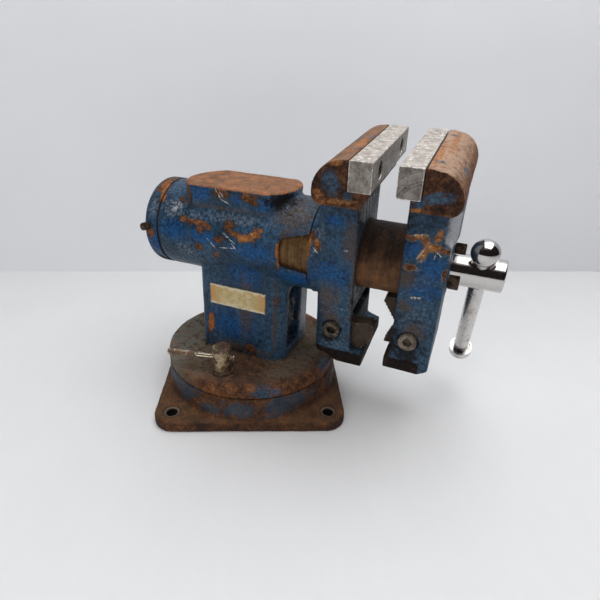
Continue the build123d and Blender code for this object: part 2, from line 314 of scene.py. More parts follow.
def bluePaint(finish, look, pattern):
    # Hammered paint with its dust, scuffs, dirt, grime and painted shade, rims round rust patches and a
    # painted pale sheen. It gives the colour, how far it is scuffed, and the mask of its grime and painted
    # shade
    where, coarse, hammer = finish.where, pattern["coarse"], pattern["hammer"]
    broad, middling, fine = pattern["broad"], pattern["middling"], pattern["fine"]
    cloudy = smooth(broad + (middling - 0.5) * 0.6, 0.38, 0.64)
    colour = blend(cloudy, paintTones["deep"], paintTones["middle"])
    vivid = larger(patch(where, "vivid", coarse, 0.6), smooth(broad + middling * 0.5, 0.88, 1.04) * 0.6)
    colour = blend(vivid * 0.8, colour, paintTones["vivid"])
    colour = shade(colour, (0.42 - hammer) * 1.3 + (pattern["runs"] - 0.5) * 1.1 + (fine - 0.5) * 1.9 + 1)
    dust = smooth(finish.upward + (middling - 0.5) * 0.9, 0.1, 0.9) * look["dust"]
    worn = larger(patch(where, "scuffs", coarse, 0.5), dust)
    scuffed = smooth(worn * 0.8 + (fine - 0.5) * 2.4 + (0.4 - hammer) * 0.7, 0.5, 0.9)
    scuffed = scuffed * smooth(worn, 0.0, 0.4)
    wornTone = blend(smooth(hammer, 0.42, 0.2), paintTones["worn"], paintTones["speck"])
    colour = blend(scuffed * look["scuffShare"], colour, wornTone)
    dirty = patch(where, "dirt", coarse, 0.5)
    colour = blend(dirty * 0.7, colour, mottled(paintTones["dirt"], fine, 2))
    # Grime, and painted shade where the patches darken hollows and places under other parts, in the soot
    # tone
    grime = larger(patch(where, "grime", coarse, 0.4), smooth(broad + middling, 1.14, 1.36) * 0.6)
    colour = blend(grime * 0.92, colour, mottled(paintTones["soot"], middling, 1.6))
    ring = larger(patch(where, "rust", coarse, 0.3, 1.25), patch(where, "orange", coarse, 0.3, 1.25))
    colour = blend(ring * smooth(fine, 0.4, 0.55) * look["rimShare"], colour, look["rimTone"])
    # Painted reflection: a pale sheen on faces seen edge-on, where the patches are
    ragged = (broad - 0.5) * 1.6 + (middling - 0.5) * 1.4
    bleached = patch(where, "bleached", ragged, 0.3) * smooth(fine, 0.25, 0.5)
    return blend(bleached * look["bleach"], colour, paintTones["bleached"]), scuffed, grime


def rustyIron(finish, look, pattern, bare, slide, orange):
    # Rust, golden inside the orange patches, with a paler bloom on bare tops, and the slides' turned tones
    where, height = finish.where, axes(finish.where)[2]
    middling, small, fine = pattern["middling"], pattern["small"], pattern["fine"]
    level = look["rustLevel"] + orange * 0.2
    if "tint" in look:
        level = level + look["tint"](finish, look)
    rusty = rustColour(where, level + (small - 0.5) * (1 - bare) * 0.9)
    golden = orange * smooth(fine + (small - 0.5) * 0.5, 0.48, 0.64) * 0.6
    rusty = blend(golden, rusty, rustTones["golden"])
    turned = noise(stretched(where, 1, 14, 14), paintGrain["turned"], 4, 0.7)
    drawn = noise(stretched(where, 1, 14, 14), paintGrain["drawn"], 4, 0.75)
    # Painted shadow: the top of the slide is darker, where the jaw above it casts shade
    topShade = smooth(height, -0.006, 0.022) * look["topShade"]
    turnedLevel = turned * 0.6 + middling * 0.8 + level + 0.18 - look["slideShade"] - topShade
    turnedTone = turned.node("ValToRGB", {"stops": look["slideTones"]}, {"Fac": turnedLevel})
    rusty = blend(slide, rusty, shade(turnedTone, drawn * 0.3 + 0.85))
    paler = smooth(finish.upward + (small - 0.5) * 1.6, 0.3, 1.0) * bare * smooth(height, 0.040, 0.046)
    paler = paler * (1 - orange * 0.7) * smooth(middling + (fine - 0.5) * 0.6, 0.28, 0.52)
    return blend(paler * look["palerTop"], rusty, mottled(rustTones["pale"], fine, 1.2))


def dustedDisc(finish, look, pattern, colour):
    # Dust over what look's dust function marks, greyer towards the back
    middling, fine = pattern["middling"], pattern["fine"]
    dusted = look["dusted"](finish) * smooth(middling + (fine - 0.5) * 0.7, 0.30, 0.56)
    back = smooth(axes(finish.where)[0], -0.030, -0.055)
    dustTone = blend(back, paintTones["dust"], paintTones["ash"])
    return blend(dusted, colour, mottled(dustTone, fine, 1.4))


def chippedPlaces(finish, look, pattern):
    # 1 where the paint is chipped pale, or scratched through
    where, fine = finish.where, pattern["fine"]
    chips = patch(where, "pale", pattern["crisp"], 0.1)
    chips = chips * smooth(pattern["runs"] + (fine - 0.5) * 0.8, 0.44, 0.56) * look["paleness"]
    for centre, half, turn in look["scratches"]:
        chips = larger(chips, stroke(where, centre, half, turn) * smooth(fine, 0.44, 0.54))
    return chips


def paintedCasting(name, part, look, bareOf):
    # Blue paint on cast iron. look says how and where it has aged, bareOf where it is bare or a slide
    finish = Finish(name, part)
    where = finish.where
    pattern = paintPatterns(where)
    small, fine, coarse = pattern["small"], pattern["fine"], pattern["coarse"]
    colour, scuffed, grime = bluePaint(finish, look, pattern)

    bare, slide = bareOf(finish, coarse)
    kept = patch(where, "kept", coarse, 0.4) * smooth(small, 0.40, 0.5)
    bare = bare * (1 - kept)
    orange = patch(where, "orange", coarse)
    flecks = smooth(noise(where, paintGrain["flecks"], 6, 0.78), 0.66, 0.72) * look["flecks"]
    wear = smooth(finish.edges + (fine - 0.5) * 0.08, 0.54, 0.6) * look["wear"]
    rust = larger(patch(where, "rust", coarse), orange, flecks, wear, bare, slide) * (1 - kept)
    colour = blend(rust, colour, rustyIron(finish, look, pattern, bare, slide, orange))
    if "dusted" in look:
        colour = dustedDisc(finish, look, pattern, colour)
    chips = chippedPlaces(finish, look, pattern)
    colour = blend(chips, colour, mottled(look["paleTone"], fine, 1.2))

    cast = bump(noise(where, paintGrain["cast"], 3, 0.5), paintGrain["castDepth"])
    hammered = bump(pattern["hammer"] * (1 - bare), paintGrain["hammerDepth"], cast)
    pitted = bump(fine * (rust * 0.7 + 0.3), paintGrain["pitDepth"], hammered)
    roughness = 0.42 + scuffed * 0.18 + rust * 0.36 + grime * 0.3 + chips * 0.1 - slide * 0.2
    return finish.close(colour, roughness, pitted, gloss=paintGrain["gloss"])


# Sizes of the patterns on steel
steelGrain = {
    "fine": 0.0014,
    "middling": 0.0065,
    "marks": 0.0009,
    "arcs": 0.0011,
    "blots": 0.0085,
    "glints": 0.0048,
    "pits": 0.0031,
}


def drawnSteel(finish, look, middling, fine, marks, grip):
    # Bare steel in two tones with draw marks, cutter arcs and painted shade on its ends, and a dark
    # gripping face
    x, z = axes(finish.where)[::2]
    level = smooth(middling * 0.8 + fine * 0.4, 0.40, 0.80)
    colour = blend(level, look["tones"][0], look["tones"][1])
    colour = shade(colour, marks * look["marks"] + 1 - look["marks"] * 0.5)
    nearEnd = smooth(absolute(finish.nearward), 0.6, 0.85)
    reach = span(x - look["arcsFrom"][0], z - look["arcsFrom"][1])
    rings = reach.node("CombineXYZ", {}, {0: reach, 1: fine * 0.001})
    arcs = noise(rings, steelGrain["arcs"], 3, 0.7)
    darkened = larger(nearEnd * look["endShade"], grip)
    return shade(colour, 1 - darkened + (arcs - 0.5) * nearEnd * look["arcs"])


def steel(name, part, look):
    # Bare or rusted steel: rust and blots by amount, bright worn edges, painted glints and pits
    finish = Finish(name, part)
    where = finish.where
    fine = noise(where, steelGrain["fine"], 4, 0.7)
    middling = noise(where, steelGrain["middling"], 5, 0.7)
    marks = noise(stretched(where, *look["grain"]), steelGrain["marks"], 4, 0.65)
    grip = smooth(absolute(finish.frontward), 0.7, 0.9) * look["darkGrip"]
    colour = drawnSteel(finish, look, middling, fine, marks, grip)
    rust = smooth(middling * 0.6 + fine * 0.4, look["rustFrom"], look["rustFrom"] + 0.12)
    worn = smooth(finish.edges + (fine - 0.5) * 0.06, 0.515, 0.55) * look["edgeShine"]
    rust = rust * (1 - worn)
    rusty = rustColour(where, look["rustLevel"])
    colour = blend(rust, colour, rusty)
    blots = noise(where, steelGrain["blots"], 2, 0.5) + (fine - 0.5) * 0.2
    blots = smooth(blots, 0.47, 0.56) * look["blotches"]
    colour = blend(blots, colour, rusty)
    chipped = worn * smooth(middling + (fine - 0.5) * 0.8, 0.46, 0.6)
    colour = blend(chipped, blend(worn * 0.5, colour, look["tones"][1]), look["chipTone"])
    # Painted highlights: bright glints on the faces turned up and on the gripping face
    glints = smooth(cells(where, steelGrain["glints"], "F1") + (fine - 0.5) * 0.9, 0.24, 0.14)
    glints = glints * look["glints"] * larger(smooth(finish.upward, 0.6, 0.9), grip)
    colour = blend(glints, colour, look["chipTone"])
    pits = smooth(cells(where, steelGrain["pits"], "F1") + (middling - 0.5) * 0.5, 0.16, 0.05)
    pits = pits * look["pits"]
    colour = blend(pits, colour, rustTones["dark"])
    normal = bump(marks, look["relief"] * 0.6)
    normal = bump(fine, look["relief"], normal)
    normal = bump(1 - larger(rust * 0.4, pits), look["relief"], normal)
    roughness = look["roughness"] + larger(rust, blots) * 0.35 + (marks - 0.5) * 0.2 - chipped * 0.15
    metallic = look["metallic"] * (1 - larger(rust, blots)) * (1 - pits)
    return finish.close(colour, roughness, normal, metallic, gloss=look["gloss"])


def chrome(name, look):
    # Plated steel. look gives how far it is pitted, and how far the plating has dulled
    finish = Finish(name)
    where = finish.where
    fine = noise(where, look["fine"], 4, 0.75)
    broad = noise(where, look["broad"], 4, 0.65)
    pits = smooth(cells(where, look["pitSize"], "F1") + (broad - 0.5) * 0.7, 0.24, 0.1)
    pits = pits * look["pits"]
    haze = smooth(broad + (fine - 0.5) * 0.4, 0.5, 0.75) * look["haze"]
    colour = blend(haze, look["bright"], look["dull"])
    colour = blend(pits, colour, look["pit"])
    normal = bump(1 - pits, 0.0001)
    normal = bump(fine, look["ripple"], normal)
    roughness = look["roughness"] + haze * 0.22 + pits * 0.4
    return finish.close(colour, roughness, normal, 1 - pits * 0.8)


# Tones of the turned slides, from their dark places to their light ones
sleeveTones = [
    (0.1, tone(34, 24, 16)),
    (0.32, tone(82, 58, 34)),
    (0.56, tone(124, 94, 58)),
    (0.85, tone(164, 108, 56)),
]
slideTones = [
    (0.1, tone(24, 16, 12)),
    (0.34, tone(62, 42, 28)),
    (0.56, tone(96, 66, 42)),
    (0.85, tone(134, 86, 50)),
]

# What the painted castings share
paintLook = {
    "flecks": 0.4,
    "dust": 0.3,
    "rustLevel": 0.5,
    "slideTones": sleeveTones,
    "topShade": 0.0,
    "paleTone": paintTones["pale"],
    "rimTone": tone(26, 20, 18),
    "rimShare": 0.6,
    "bleach": 0.5,
    "scratches": [],
}


def bodyTint(finish, look):
    # The anvil's face is brighter than other rust, the turntable's disc almost black inside a rusty rim,
    # and the barrel's bore darker as painted shade
    x, y, z = axes(finish.where)
    low = smooth(z, -0.112, -0.118)
    bore = smooth(span(y, z), 0.040, 0.039) * 0.3
    return smooth(z, 0.046, 0.048) * 0.14 - low * smooth(span(x, y), 0.084, 0.074) * 0.12 - bore


def discDust(finish):
    # Dust on the turntable, thinner where it is swept beside the near lock
    x, y, z = axes(finish.where)
    reach = span(x, y) - smooth(x, 0.0, -0.04) * 0.02
    swept = smooth(span(x - 0.016, y + 0.052), 0.036, 0.012) * 0.7
    return smooth(z, -0.116, -0.120) * smooth(reach, 0.088, 0.068) * (0.9 - swept)


def bodyBare(finish, rough):
    # The anvil's face, the turntable disc and the inside of the barrel
    x, y, z = axes(finish.where)
    anvilFace = smooth(z + rough * 0.0003, 0.0474, 0.0482)
    disc = smooth(z + rough * 0.001, -0.1165, -0.1195)
    bore = smooth(span(y, z), 0.0392, 0.0386) * smooth(absolute(x), 0.0725, 0.0715)
    return larger(anvilFace, disc), bore


# Patches are millimetres in the vise's frame: centre, half sizes, turn in degrees seen from the near side
bodyLook = {
    **paintLook,
    "middle": -4,
    "rust": [
        ((-5, -39, 17), (6, 7, 3.4), 0),
        ((2, -41, 11), (8, 7, 3.0), -14),
        ((-52, -40, 16), (4.5, 7, 2.4), 0),
        ((-44, -40, 15), (5, 7, 2.4), -10),
        ((-34, -40, 15), (9, 7, 3.0), -6),
        ((-26, -41, 13), (5, 7, 2.2), -20),
        ((-33, -42, 9), (4.5, 7, 2.8), -50),
        ((-14, -43, 3.7), (5.5, 6, 3.0), 5),
        ((-35, -42, -8.5), (3.4, 6, 4.0), 0),
        ((-17, -41, -12.4), (2.6, 6, 2.4), 0),
        ((-14, -36, 44), (8, 5, 4.4), 0),
        ((14, -36, 44), (7.5, 5, 4.8), 0),
        ((19, -35, 40), (4, 5, 3), 0),
        ((-47, -35, 38), (1.8, 5, 9), 0),
        ((39.4, -32, -52), (1.2, 4, 4), 0),
        ((39.0, -32, -92), (1.0, 4, 3), 0),
        ((13.4, -34, -109.5), (6, 5, 4), 0),
        ((-58, -30, 32), (3, 6, 2.4), 0),
    ],
    "orange": [
        ((13, -42, 8.5), (8.5, 7, 3.6), 10),
        ((20.5, -41, 12.5), (7, 7, 3.8), 28),
        ((26, -39, 17.5), (2.6, 7, 3.6), 60),
        ((-31, -34, -91), (3.8, 5, 10.5), -8),
        ((44.3, -41, 2), (1.6, 5, 13), 0),
        ((-78.5, -30, 30), (1.6, 9, 5), 0),
    ],
    "scuffs": [
        ((-64, -35, 23), (13, 12, 10), 0),
        ((-5, -36, 23), (44, 9, 7), 2),
        ((-40, -37, 20), (16, 9, 6), 0),
        ((-50, -40, -13), (11, 9, 7), 0),
        ((55, -24, 34), (16, 22, 9), 0),
    ],
    # Painted reflection: a pale sheen on the column's front face, seen edge-on
    "bleached": [((49, 30, -84), (5, 20, 40), 0)],
    "vivid": [
        ((22, -43, -3), (20, 8, 8), 0),
        ((-36, -35, 41), (10, 6, 7), 0),
        ((27, -33, 38), (9, 8, 6), 0),
        ((2, -35, 40), (5, 6, 4), 0),
        ((-30, -43, 3), (13, 8, 6), 0),
        ((-62, -42, 4), (14, 9, 9), 0),
        ((-8, -34, -86), (24, 6, 14), 0),
        ((8, -34, -30), (14, 6, 12), 0),
        ((60, -36, -22), (14, 10, 7), 0),
    ],
    "pale": [
        ((39.5, 4, -74), (3, 11, 22), 0),
        ((-12, -36, 41), (1.6, 5, 7), 30),
        ((-62, -36, 25), (7, 9, 4), 0),
    ],
    # Grime and painted shade: dark beside the anvil, in the column's front pocket and at the column's foot
    "grime": [
        ((39, -23, 42), (13, 18, 9), 0),
        ((40, -2, -80), (4.5, 15, 44), 0),
        ((-10, -34, -124), (44, 8, 8), 0),
    ],
    "dirt": [
        ((54, -22, 30), (18, 28, 12), 0),
        ((50, -40, 18), (7, 8, 7), 0),
        ((8, -34, -64), (8, 5, 30), 0),
        ((39.4, -32, -72), (1.8, 4, 40), 0),
        # Painted shade: the long thin patch at z 29.8 is a dark groove line along the barrel
        ((-8, -31, 29.8), (46, 4, 2.0), 0),
        ((5, -34, -112), (30, 6, 6), 0),
    ],
    "kept": [((51, -73, -127), (15, 12, 5.5), 0), ((84, -8, -124), (5, 12, 5), 0)],
    "scratches": [
        ((-22, -42.6, -1), (7.0, 4, 0.6), -42),
        ((-4, -42.6, 6.5), (8.5, 4, 0.6), -34),
        ((1.5, -42.6, -0.5), (4.5, 4, 0.6), -52),
        ((-6, -42.8, -3.2), (8.5, 4, 0.6), 6),
        ((-16, -36.5, 42), (7, 4, 0.6), -62),
        ((-11, -36, 37), (6, 4, 0.5), -24),
    ],
    "flecks": 0.7,
    "wear": 0.55,
    "dust": 0.55,
    "rustLevel": 0.52,
    "tint": bodyTint,
    "dusted": discDust,
    "slideShade": 0.95,
    "palerTop": 0.2,
    "paleness": 0.55,
    "rimShare": 0.8,
    "scuffShare": 0.75,
}


def headTint(finish, look):
    # Painted shade: the near and far ends of the D-shaped head are darker. The feet are dark too
    z = axes(finish.where)[2]
    rounded = smooth(z, look["darkFrom"], look["darkFrom"] + 0.004)
    nearEnd = smooth(absolute(finish.nearward), 0.4, 0.8) * rounded * 0.20
    feet = smooth(z, -0.078, -0.082) * 0.5
    return 0.06 - nearEnd - feet


def fixedJawBare(finish, rough):
    # The jaw head, down to a ragged line, the foot, and the sleeve that shows in the barrel's window
    x, z = axes(finish.where)[::2]
    head = smooth(z + rough * 0.0012, 0.0625, 0.0640)
    foot = smooth(z + rough * 0.001, -0.0865, -0.0885)
    return larger(head, foot), smooth(x, 0.0725, 0.0715)


fixedJawLook = {
    **paintLook,
    "middle": 93,
    "rust": [
        ((74, -36, 24), (2.6, 7, 4), 0),
        ((80, -37, 17), (2.4, 6, 4), 20),
        ((100, -40, 65.5), (16, 24, 2.0), 4),
    ],
    "orange": [
        ((103, -12, 98), (3.2, 26, 3), 0),
        ((101, -64, 95), (5, 4, 2.4), 10),
        ((72, -38, 15), (2.6, 9, 9), 0),
        ((79, -37, 20), (1.6, 6, 3.5), 20),
        ((102, -64, 67), (13, 5, 1.9), 5),
        ((88, -64, 72), (4, 5, 4), -40),
    ],
    "scuffs": [
        ((81, -36, 31), (5, 9, 15), 8),
        ((96, -36, -72), (14, 8, 22), 0),
        ((95, -36, -40), (16, 8, 12), 0),
        ((97, -64, 80), (6, 5, 8), 0),
        ((103, -27, 98), (4, 5, 3), 0),
        ((107, 11, 98), (5, 5, 3), 0),
    ],
    "vivid": [
        ((92, -38, -8), (17, 8, 11), 0),
        ((94, -36, 40), (8, 8, 5), 0),
    ],
    "pale": [
        ((80, -37, 24), (1.4, 6, 8), 24),
        ((77.5, -37, 12), (1.2, 6, 4), -20),
        ((113.5, -6, 46), (2, 26, 13), 0),
    ],
    # Grime and painted shade: the patches at y 0 darken the hollow between the jaw's cheeks
    "grime": [
        ((118, 0, 48), (6, 60, 16), 0),
        ((95, -36, -66), (9, 6, 8), 0),
        ((117, 0, -50), (6, 40, 50), 0),
        ((111, 10, -66), (12, 36, 17), 0),
        ((110, -36, 60), (16, 10, 4), 0),
        ((92, -36, -73), (10, 6, 7), 0),
    ],
    "dirt": [
        ((107, -36, 22), (5.5, 5, 17), 0),
        ((112, -35, -8), (2.2, 6, 60), 0),
        ((95, -36, -53), (9, 4, 7), 0),
        ((88, -36, -30), (12, 5, 12), 0),
    ],
    "kept": [
        ((97, -64, 80), (6.5, 5, 9), 10),
        ((110, -64, 72), (3, 5, 3), 0),
        ((103, -27, 98), (3.4, 4.5, 3), 0),
        ((107, 11, 98), (4, 5, 3), 0),
        ((96, 10, 94), (4, 7, 4), 0),
    ],
    "scratches": [
        ((80, -37, 26), (6, 4, 0.6), 66),
        ((78.5, -37, 13), (4.5, 4, 0.5), -48),
        ((104, -36, 16), (1.6, 4, 0.8), 0),
    ],
    "wear": 0.7,
    "tint": headTint,
    "darkFrom": 0.063,
    "slideShade": 1.0,
    "palerTop": 0.35,
    "paleness": 0.6,
    "rimTone": tone(170, 138, 104),
    "rimShare": 0.5,
    "scuffShare": 0.4,
}


def movingJawBare(finish, rough):
    # The jaw head, the foot and the round slide
    x, z = axes(finish.where)[::2]
    head = smooth(z + rough * 0.0012, 0.0664, 0.0680)
    foot = smooth(z + rough * 0.001, -0.0800, -0.0820) * smooth(x, 0.1775, 0.1765)
    return larger(head, foot), smooth(x, 0.1498, 0.1490)


movingJawLook = {
    **paintLook,
    "middle": 168,
    "rust": [
        ((155, -36, 37), (5, 5, 2.0), -4),
        ((167, -36, 36), (3.2, 5, 5.5), 20),
        ((181, -35, 30.5), (5, 5, 2.4), -8),
        ((184.5, -33, 10), (2.2, 5, 5), 0),
        ((157.8, -36, 11.5), (5.0, 4, 2.6), 0),
    ],
    "orange": [
        ((165, -22, 98), (2.6, 36, 3), 0),
        ((172.5, -36, 32), (7, 5, 3.0), 8),
        ((175, -36, 40.5), (2.2, 5, 5), -10),
        ((162, -36, 38.5), (4.4, 5, 1.8), 0),
        ((166, -36, 25), (2.6, 5, 6), -25),
        ((159, -63, 69), (5, 4, 1.6), 6),
    ],
    "scuffs": [
        ((168, -36, -2), (11, 5, 6), 0),
        ((170, -36, -16.5), (18, 4, 2.0), 4),
        ((166, -36, -40), (16, 6, 20), 0),
        ((171, -64, 79), (9, 5, 4), 8),
        ((167, -42, 98), (4, 4, 3), 0),
        ((185, -27, 89), (4, 5, 4), 0),
    ],
    "vivid": [
        ((158, -36, 26), (8, 6, 7), 0),
        ((175, -36, 14), (9, 6, 9), 0),
        ((172, -36, -6), (12, 6, 8), 0),
    ],
    "pale": [
        ((164, -36, 40), (4, 5, 1.2), 14),
        ((164.5, -36, 21), (1.5, 5, 6.5), -25),
        ((174.4, -36, 25), (1.0, 4, 3), 0),
        ((168.5, -36, 35), (1.2, 5, 5), 24),
    ],
    # Painted reflection: a pale sheen on the arm's front face, seen edge-on
    "bleached": [((188, -27, 47), (8, 16, 23), 0)],
    # Grime and painted shade: the patches at y 0 darken the jaw's hollow middle
    "grime": [
        ((165, -36, -72), (13, 6, 12), 0),
        ((152, 0, 50), (6, 40, 24), 0),
        ((152, 0, -56), (7, 40, 24), 0),
    ],
    "dirt": [
        ((156, -36, 1), (6, 4, 8), 0),
        ((168.5, -36, -50), (9, 4, 8), 30),
        ((157, -36, -24), (6, 5, 5), 0),
    ],
    "kept": [
        ((171, -64, 79), (10, 5, 4), 8),
        ((160, -64, 74), (4, 5, 4), 0),
        ((167, -42, 98), (3.5, 4, 3), 0),
        ((185, -27, 89), (4, 5, 4), 0),
    ],
    "scratches": [
        ((165.7, -36, -14.8), (4.6, 4, 0.9), 8),
        ((164, -36, 25), (6.5, 4, 0.6), 62),
        ((160, -36, 40), (4.5, 4, 0.6), 14),
        ((177, -36, 27), (4, 4, 0.5), -40),
    ],
    "wear": 0.5,
    "dust": 0.2,
    "tint": headTint,
    "darkFrom": 0.067,
    "slideTones": slideTones,
    "slideShade": 0.86,
    "topShade": 0.36,
    "palerTop": 0.95,
    "paleness": 0.8,
    "paleTone": tone(206, 192, 164),
    "rimTone": tone(176, 142, 96),
    "scuffShare": 0.35,
    "bleach": 0.95,
}


def capBare(finish, rough):
    # Only the face that meets the barrel
    x = axes(finish.where)[0]
    inner = smooth(x + rough * 0.0001, -0.0820, -0.0816)
    return inner, inner


capLook = {
    **paintLook,
    "middle": -88,
    "rust": [
        ((-86, -14, 41), (5, 22, 5), 0),
        ((-90, -44, 4), (6, 5, 6), 0),
        ((-95, 14, -16), (4, 8, 5), 0),
    ],
    "orange": [((-82, -22, 37), (2, 16, 6), 0), ((-95, -12, 12), (4, 4, 7), 0)],
    "scuffs": [((-88, -36, 24), (8, 12, 9), 0), ((-95, 8, 12), (4, 20, 12), 0)],
    "vivid": [((-88, -42, -6), (9, 9, 12), 0)],
    "pale": [((-88, -36, 26), (4, 10, 6), 0)],
    "grime": [((-88, -28, -34), (12, 26, 10), 0)],
    "flecks": 0.6,
    "wear": 0.7,
    "rustLevel": 0.55,
    "slideTones": slideTones,
    "slideShade": 0.9,
    "palerTop": 0.0,
    "paleness": 0.2,
    "scuffShare": 0.45,
}


# The bolt holes are this far from the middle both ways, each painted dark inside as shade, in a bright
# ring and a brown rim
baseLook = {
    "middle": 0,
    "brown": tone(70, 54, 42),
    "upwardTint": tone(108, 80, 54),
    "paint": tone(32, 52, 74),
    "palePaint": tone(66, 80, 88),
    "soot": tone(40, 35, 31),
    "holes": 0.076,
    "hole": tone(14, 11, 10),
    "holeRing": tone(116, 102, 88),
    "holeRim": tone(40, 30, 24),
    "holeReach": 0.0050,
    "ringReach": 0.0070,
    "rimReach": 0.0082,
    "broad": 0.030,
    "middling": 0.010,
    "fine": 0.0022,
    "scattered": 0.020,
    "grain": 0.0045,
    "scuffs": [
        ((-66, -62, -140), (10, 10, 12), 0),
        ((-34, -84, -142), (15, 8, 11), 0),
        ((0, -90, -150), (12, 8, 6), 0),
        ((30, -86, -146), (20, 8, 9), 0),
        ((60, -67, -142), (14, 12, 9), 0),
    ],
}


def rustedBase(name, look):
    # Rusted iron with remains of blue paint on the drum, and a dark sooty plate whose bolt holes are
    # painted black as shade
    finish = Finish(name)
    where = finish.where
    broad = noise(where, look["broad"], 5, 0.65)
    middling = noise(where, look["middling"], 5, 0.7)
    fine = noise(where, look["fine"], 4, 0.72)
    drum = smooth(axes(where)[2], -0.1565, -0.1545)
    rusty = rustColour(where, 0.44 + drum * 0.06)
    rusty = blend(0.25, rusty, mottled(look["brown"], fine, 1.4))
    # Lighter and more orange on the faces turned up
    upwardTint = smooth(finish.upward + (fine - 0.5) * 0.6, 0.6, 1.1) * 0.4
    rusty = blend(upwardTint, rusty, look["upwardTint"])
    rough = (middling - 0.5) * 3.4 + (fine - 0.5) * 1.4
    scattered = noise(stretched(where, 1.5, 1.5, 1), look["scattered"], 5, 0.66) + (fine - 0.5) * 0.2
    painted = larger(patch(where, "scuffs", rough, 0.3), smooth(scattered, 0.52, 0.6)) * drum
    paint = blend(smooth(middling, 0.3, 0.7), look["paint"], look["palePaint"])
    colour = blend(painted * 0.8, rusty, mottled(paint, fine, 1.2))
    soot = smooth(broad + middling * 0.5, 0.8, 1.02) * 0.5
    colour = blend(soot, colour, look["soot"])
    x, y = axes(finish.plain)[:2]
    reach = span(absolute(x) - look["holes"], absolute(y) - look["holes"]) + (fine - 0.5) * 0.001
    rim = smooth(reach, look["rimReach"] + 0.0010, look["rimReach"])
    ring = smooth(reach, look["ringReach"] + 0.0008, look["ringReach"])
    hole = smooth(reach, look["holeReach"] + 0.0008, look["holeReach"])
    colour = blend(rim * 0.6, colour, look["holeRim"])
    colour = blend(ring * 0.7, colour, look["holeRing"])
    colour = blend(hole, colour, look["hole"])
    grain = noise(stretched(where, 1, 1, 1.4), look["grain"], 4, 0.6)
    normal = bump(grain, 0.0009)
    normal = bump(fine, 0.00035, normal)
    normal = bump(painted, 0.0002, normal)
    roughness = 0.78 - painted * 0.22 + (fine - 0.5) * 0.2
    return finish.close(colour, roughness, normal, gloss=0.2)


# The label's place and size are along and up the column's near face, whose depth is face. Then come the
# tones of its film and the sizes of its patterns
labelPlan = {
    "centre": (0.0, -0.0565),
    "half": (0.030, 0.0105),
    "face": -0.0345,
    "thick": 0.0012,
    "curl": 0.0012,
    "squares": (60, 22),
    "film": tone(192, 166, 108),
    "paler": tone(212, 196, 152),
    "ends": tone(196, 140, 72),
    "torn": tone(222, 214, 188),
    "rim": tone(128, 84, 46),
    "dirt": tone(92, 76, 56),
    "middling": 0.006,
    "fine": 0.0012,
    "long": 0.0016,
    "waves": 0.004,
}


def oldLabel(name, plan):
    # A yellowed film with nothing on it: paler worn patches, dirt in the scratches, a browned rim
    finish = Finish(name)
    where = finish.where
    x, z = axes(where)[::2]
    middling = noise(where, plan["middling"], 5, 0.7)
    fine = noise(where, plan["fine"], 4, 0.75)
    long = noise(stretched(where, 3, 1, 1), plan["long"], 4, 0.7)
    colour = blend(smooth(middling, 0.35, 0.65), plan["film"], plan["paler"])
    along = absolute(x - plan["centre"][0]) / plan["half"][0]
    across = absolute(z - plan["centre"][1]) / plan["half"][1]
    ends = smooth(along + (middling - 0.5) * 0.9, 0.5, 0.95)
    colour = blend(ends * 0.7, colour, plan["ends"])
    torn = smooth(across + (middling - 0.5) * 0.9, 0.72, 0.9)
    colour = blend(torn * 0.8, colour, plan["torn"])
    rim = smooth(larger(across, along) + (middling - 0.5) * 0.3, 0.95, 1.03)
    colour = blend(rim * 0.8, colour, plan["rim"])
    dirt = smooth(fine * 0.5 + long * 0.5, 0.54, 0.64)
    colour = blend(dirt * 0.7, colour, plan["dirt"])
    normal = bump(noise(where, plan["waves"], 3, 0.5), 0.0004)
    normal = bump(dirt, 0.0001, normal)
    return finish.close(colour, 0.5 + dirt * 0.3, normal, gloss=0.4)


# Most values are amounts, and 0 is none. Rust covers more where rustFrom is lower
jawBarLook = {
    "tones": (tone(140, 129, 116), tone(226, 218, 208)),
    "chipTone": tone(252, 250, 246),
    "grain": (1, 5, 1),
    "marks": 0.6,
    "endShade": 0.46,
    "darkGrip": 0.44,
    "arcs": 0.5,
    "arcsFrom": (0.104, 0.070),
    "rustFrom": 0.60,
    "rustLevel": 0.38,
    "edgeShine": 1.0,
    "blotches": 0.12,
    "pits": 0.7,
    "glints": 1.0,
    "relief": 0.0002,
    "roughness": 0.40,
    "metallic": 0.35,
    "gloss": 0.5,
}
movingBarLook = {**jawBarLook, "endShade": 0.56, "arcs": 1.1, "arcsFrom": (0.166, 0.066)}
rustedSteelLook = {
    "tones": (tone(98, 80, 60), tone(190, 170, 138)),
    "chipTone": tone(236, 222, 190),
    "grain": (1, 1, 3),
    "marks": 0.5,
    "endShade": 0.0,
    "darkGrip": 0.0,
    "arcs": 0.0,
    "arcsFrom": (0.0, 0.0),
    "rustFrom": 0.56,
    "rustLevel": 0.36,
    "blotches": 0.95,
    "edgeShine": 0.5,
    "pits": 0.2,
    "glints": 0.0,
    "relief": 0.00012,
    "roughness": 0.28,
    "metallic": 0.8,
    "gloss": 0.5,
}
tommyLook = {
    **rustedSteelLook,
    "tones": (tone(206, 184, 142), tone(255, 246, 224)),
    "grain": (2, 1, 1),
    "marks": 0.1,
    "rustFrom": 0.66,
    "rustLevel": 0.46,
    "edgeShine": 0.1,
    "pits": 0.0,
    "relief": 0.00001,
    "roughness": 0.14,
    "metallic": 0.95,
}
pipeJawLook = {
    **rustedSteelLook,
    "tones": (tone(48, 38, 31), tone(84, 70, 58)),
    "chipTone": tone(190, 172, 150),
    "rustFrom": 0.55,
    "rustLevel": 0.30,
    "blotches": 0.0,
    "pits": 0.4,
    "roughness": 0.66,
    "metallic": 0.1,
    "gloss": 0.25,
}
